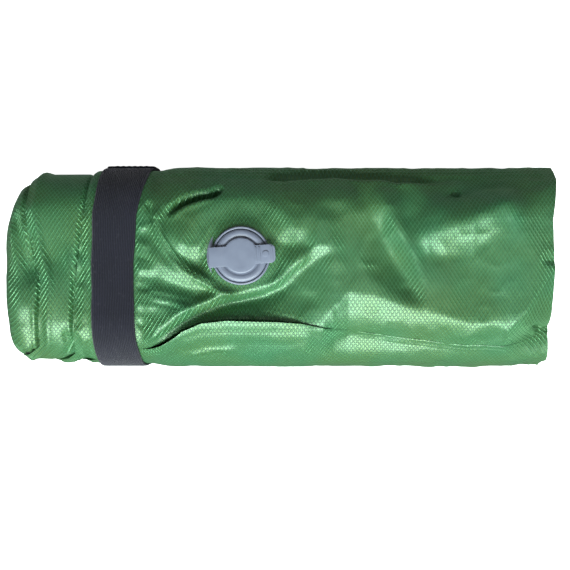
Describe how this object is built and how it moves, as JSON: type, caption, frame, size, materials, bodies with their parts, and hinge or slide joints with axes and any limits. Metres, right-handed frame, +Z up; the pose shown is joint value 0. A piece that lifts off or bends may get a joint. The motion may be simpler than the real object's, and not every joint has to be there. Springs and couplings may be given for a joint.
{
  "type": "camp pillow",
  "caption": "Self-inflating camp pillow rolled up for packing, held by an elastic band, with a flip-cap valve on top.",
  "frame": {"origin": "middle of the flat underside of the roll, on the surface that it lies on", "axes": "+X along the roll, from the banded end to the open end; +Z up, through the valve's side"},
  "size_m": [0.3414, 0.1239, 0.0949],
  "materials": {
    "coated_fabric": "satin",
    "foam": "matte",
    "elastic": "matte",
    "thread": "matte",
    "grey_moulding": "satin",
    "silicone": "satin"
  },
  "bodies": {
    "roll": {"outer_cover": "coated_fabric", "inner_cover": "coated_fabric", "foam_core": "foam", "valve_base": "grey_moulding", "valve_guard": "grey_moulding", "plate_seal": "silicone"},
    "plate": {"deflation_plate": "grey_moulding", "check_flap": "silicone"},
    "cap": {"inflation_cap": "grey_moulding"},
    "band": {"elastic_band": "elastic", "band_stitching": "thread"}
  },
  "joints": [
    {"name": "band_slide", "type": "slide", "parent": "roll", "child": "band", "axis": [-1, 0, 0], "range_m": [0, 0.088]},
    {"name": "plate_hinge", "type": "hinge", "parent": "roll", "child": "plate", "pos_m": [-0.04056, 0.0047, 0.09165], "axis": [0.0698, -0.9976, 0], "range_deg": [0, 70]},
    {"name": "cap_hinge", "type": "hinge", "parent": "plate", "child": "cap", "pos_m": [-0.04056, 0.0047, 0.0932], "axis": [0.0698, -0.9976, 0], "range_deg": [0, 100]}
  ]
}
